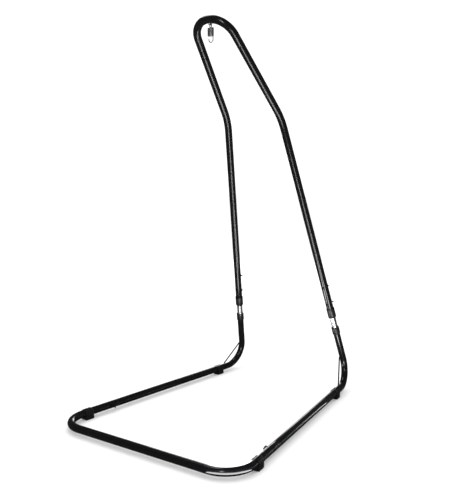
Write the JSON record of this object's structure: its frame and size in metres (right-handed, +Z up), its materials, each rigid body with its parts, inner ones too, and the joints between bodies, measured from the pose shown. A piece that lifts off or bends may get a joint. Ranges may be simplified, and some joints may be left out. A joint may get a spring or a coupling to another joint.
{
  "type": "hanging chair stand",
  "caption": "Free-standing tubular steel stand with a U-shaped floor frame, raked legs, a height-adjustable hoop and a spring hook for a hanging chair.",
  "frame": {"origin": "under the middle of the stand, at the floor", "axes": "+X to the right as a seated person faces out, -Y to the front, +Z up"},
  "size_m": [1.1318, 1.4813, 2.1107],
  "materials": {
    "black_powder_coat": "gloss",
    "zinc_tube": "satin",
    "black_plastic": "matte",
    "black_hardware": "satin",
    "spring_steel": "satin"
  },
  "bodies": {
    "floor_frame": {"front_base_tube": "black_powder_coat", "left_front_foot": "black_plastic", "right_front_foot": "black_plastic", "base_bolts": "black_hardware", "base_washers": "black_hardware"},
    "left_side": {"left_lower_tube": "black_powder_coat", "left_brace_rod": "black_powder_coat", "left_inner_tube": "zinc_tube", "left_lower_collar": "black_plastic", "left_rear_foot": "black_plastic"},
    "right_side": {"right_lower_tube": "black_powder_coat", "right_brace_rod": "black_powder_coat", "right_inner_tube": "zinc_tube", "right_lower_collar": "black_plastic", "right_rear_foot": "black_plastic"},
    "upper": {"left_upper_leg": "black_powder_coat", "right_upper_leg": "black_powder_coat", "left_upper_collar": "black_plastic", "right_upper_collar": "black_plastic", "top_hoop": "black_powder_coat", "hanger_eye": "black_powder_coat", "hoop_bolts": "black_hardware", "hoop_nuts": "black_hardware", "clamp_bolts": "black_hardware", "clamp_washers": "black_hardware"},
    "spring": {"spring_top_hook": "spring_steel", "spring_coil": "spring_steel"},
    "lower_hook": {"spring_lower_hook": "spring_steel"},
    "left_low_nut": {"left_low_wing_nut": "black_hardware"},
    "left_high_nut": {"left_high_wing_nut": "black_hardware"},
    "right_low_nut": {"right_low_wing_nut": "black_hardware"},
    "right_high_nut": {"right_high_wing_nut": "black_hardware"},
    "left_base_nut": {"left_base_wing_nut": "black_hardware"},
    "right_base_nut": {"right_base_wing_nut": "black_hardware"}
  },
  "joints": [
    {"name": "height_adjust", "type": "slide", "parent": "floor_frame", "child": "upper", "axis": [0, -0.2684, 0.9633], "range_m": [-0.06, 0.1]},
    {"name": "left_side_turn", "type": "hinge", "parent": "floor_frame", "child": "left_side", "pos_m": [-0.52273, -0.38109, 0.034], "axis": [0, 0, 1], "range_deg": [-0.47, 0.78]},
    {"name": "right_side_turn", "type": "hinge", "parent": "floor_frame", "child": "right_side", "pos_m": [0.52273, -0.38109, 0.034], "axis": [0, 0, 1], "range_deg": [-0.78, 0.47]},
    {"name": "left_low_nut_turn", "type": "hinge", "parent": "upper", "child": "left_low_nut", "pos_m": [-0.32616, 0.60799, 0.5355], "axis": [0.039, 0.9567, 0.2886], "continuous": true},
    {"name": "left_high_nut_turn", "type": "hinge", "parent": "upper", "child": "left_high_nut", "pos_m": [-0.3118, 0.57537, 0.64168], "axis": [0.039, 0.9567, 0.2886], "continuous": true},
    {"name": "right_low_nut_turn", "type": "hinge", "parent": "upper", "child": "right_low_nut", "pos_m": [0.32616, 0.60799, 0.5355], "axis": [-0.039, 0.9567, 0.2886], "continuous": true},
    {"name": "right_high_nut_turn", "type": "hinge", "parent": "upper", "child": "right_high_nut", "pos_m": [0.3118, 0.57537, 0.64168], "axis": [-0.039, 0.9567, 0.2886], "continuous": true},
    {"name": "left_base_nut_turn", "type": "hinge", "parent": "floor_frame", "child": "left_base_nut", "pos_m": [-0.52273, -0.38109, 0.034], "axis": [0.9937, -0.1119, 0], "continuous": true},
    {"name": "right_base_nut_turn", "type": "hinge", "parent": "floor_frame", "child": "right_base_nut", "pos_m": [0.52273, -0.38109, 0.034], "axis": [-0.9937, -0.1119, 0], "continuous": true},
    {"name": "spring_swing", "type": "hinge", "parent": "upper", "child": "spring", "pos_m": [0, -0.13527, 2.06646], "axis": [1, 0, 0], "range_deg": [-40, 40]},
    {"name": "spring_stretch", "type": "slide", "parent": "spring", "child": "lower_hook", "axis": [0, 0, -1], "range_m": [0, 0.025], "stiffness_N_per_m": 20000, "deforming": ["spring_coil"]}
  ],
  "couplings": [
    {"joint": "left_side_turn", "follows": "height_adjust", "rad_per_m": 0.13386},
    {"joint": "right_side_turn", "follows": "height_adjust", "rad_per_m": -0.13386}
  ]
}
